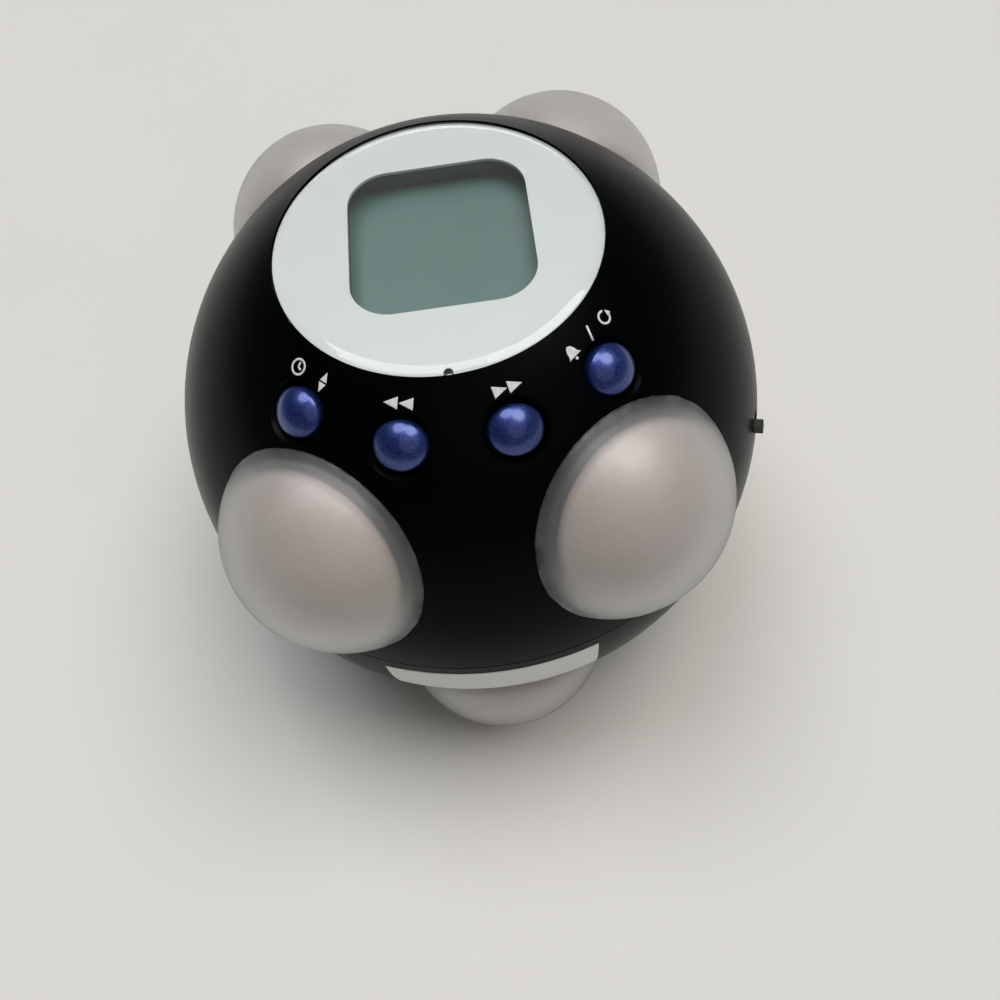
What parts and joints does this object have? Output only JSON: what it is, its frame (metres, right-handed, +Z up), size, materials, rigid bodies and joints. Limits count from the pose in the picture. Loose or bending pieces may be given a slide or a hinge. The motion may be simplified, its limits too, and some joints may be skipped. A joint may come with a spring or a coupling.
{
  "type": "alarm clock",
  "caption": "Ball-shaped digital alarm clock with rubber bumper domes, push buttons, a slide switch and an inner rolling drive, standing on its lower domes.",
  "frame": {"origin": "on the table, under the middle of the ball", "axes": "+Z up, the display looks up; the buttons and the label face -Y; +X is the viewer's right and carries the slide switch"},
  "size_m": [0.1142, 0.1142, 0.0935],
  "materials": {
    "black_shell": "satin moulded black plastic",
    "black_trim": "matt black plastic",
    "circuit_board": "green solder mask",
    "lamp_plastic": "water-clear moulded lamp",
    "clear_lens": "polished clear plastic, glossy",
    "silver_face": "silver print under the lens",
    "display_glass": "grey-green display, blank",
    "soft_rubber": "matt silicone rubber",
    "black_metal": "matt black",
    "cell_can": "satin printed sleeve",
    "spring_steel": "nickel-plated",
    "grey_plastic": "matt dark grey plastic",
    "white_acetal": "moulded acetal",
    "brass": "turned brass",
    "motor_can": "zinc-plated",
    "cast_weight": "dull die-cast",
    "white_label": "coated white paper, blank",
    "frosted_rubber": "frosted translucent rubber",
    "pearl_plastic": "pearly satin",
    "pearl_blue": "royal blue pearl paint, glossy"
  },
  "bodies": {
    "root": {"upper_shell": "black_shell", "lower_shell": "black_shell", "upper_front_left_dome": "frosted_rubber", "upper_front_left_glow_cup": "pearl_plastic", "upper_front_right_dome": "frosted_rubber", "upper_front_right_glow_cup": "pearl_plastic", "upper_back_left_dome": "frosted_rubber", "upper_back_left_glow_cup": "pearl_plastic", "upper_back_right_dome": "frosted_rubber", "upper_back_right_glow_cup": "pearl_plastic", "lower_front_dome": "frosted_rubber", "lower_front_glow_cup": "pearl_plastic", "lower_right_dome": "frosted_rubber", "lower_right_glow_cup": "pearl_plastic", "lower_back_dome": "frosted_rubber", "lower_back_glow_cup": "pearl_plastic", "lower_left_dome": "frosted_rubber", "lower_left_glow_cup": "pearl_plastic", "dome_clamp_rings": "black_trim", "led_boards": "circuit_board", "leds": "lamp_plastic", "display_lens": "clear_lens", "dial_ring": "silver_face", "lcd_frame": "black_trim", "lcd_glass": "display_glass", "lcd_connectors": "soft_rubber", "main_board": "circuit_board", "controller_chip": "black_trim", "key_board": "circuit_board", "slide_switch_body": "black_trim", "speaker": "black_metal", "battery_1": "cell_can", "battery_2": "cell_can", "battery_3": "cell_can", "battery_contacts": "spring_steel", "battery_tray": "grey_plastic", "case_screws": "spring_steel", "small_screws": "spring_steel", "gear_pin": "spring_steel", "motor": "motor_can", "drive_frame": "grey_plastic", "label_patch": "white_label", "set_rubber_key": "soft_rubber", "back_rubber_key": "soft_rubber", "forward_rubber_key": "soft_rubber", "alarm_rubber_key": "soft_rubber"},
    "set_button": {"set_button": "pearl_blue"},
    "back_button": {"back_button": "pearl_blue"},
    "forward_button": {"forward_button": "pearl_blue"},
    "alarm_button": {"alarm_button": "pearl_blue"},
    "switch_knob": {"slide_switch_knob": "black_trim"},
    "battery_hatch": {"battery_door": "black_shell", "door_screw": "spring_steel"},
    "output_shaft": {"output_axle": "spring_steel", "output_gear": "white_acetal", "eccentric_weight": "cast_weight"},
    "reduction": {"reduction_gear": "white_acetal"},
    "rotor": {"motor_pinion": "brass"}
  },
  "joints": [
    {"name": "set_button_press", "type": "slide", "parent": "root", "child": "set_button", "axis": [0.4305, 0.4553, -0.7793], "range_m": [0, 0.0008], "stiffness_N_per_m": 400, "deforming": ["set_rubber_key"]},
    {"name": "back_button_press", "type": "slide", "parent": "root", "child": "back_button", "axis": [0.1548, 0.6072, -0.7793], "range_m": [0, 0.0008], "stiffness_N_per_m": 400, "deforming": ["back_rubber_key"]},
    {"name": "forward_button_press", "type": "slide", "parent": "root", "child": "forward_button", "axis": [-0.1548, 0.6072, -0.7793], "range_m": [0, 0.0008], "stiffness_N_per_m": 400, "deforming": ["forward_rubber_key"]},
    {"name": "alarm_button_press", "type": "slide", "parent": "root", "child": "alarm_button", "axis": [-0.4305, 0.4553, -0.7793], "range_m": [0, 0.0008], "stiffness_N_per_m": 400, "deforming": ["alarm_rubber_key"]},
    {"name": "switch_slide", "type": "slide", "parent": "root", "child": "switch_knob", "axis": [0.3322, 0.9432, 0], "range_m": [0, 0.002]},
    {"name": "hatch_slide", "type": "slide", "parent": "root", "child": "battery_hatch", "axis": [0, 0, -1], "range_m": [0, 0.012]},
    {"name": "output_spin", "type": "hinge", "parent": "root", "child": "output_shaft", "pos_m": [0, 0, 0.045], "axis": [1, 0, 0], "continuous": true},
    {"name": "reduction_spin", "type": "hinge", "parent": "root", "child": "reduction", "pos_m": [0, 0.0168, 0.045], "axis": [1, 0, 0], "continuous": true},
    {"name": "rotor_spin", "type": "hinge", "parent": "root", "child": "rotor", "pos_m": [0, 0.0318, 0.045], "axis": [1, 0, 0], "continuous": true}
  ],
  "couplings": [
    {"joint": "reduction_spin", "follows": "output_spin", "ratio": -3.6667},
    {"joint": "rotor_spin", "follows": "output_spin", "ratio": 14.667}
  ]
}
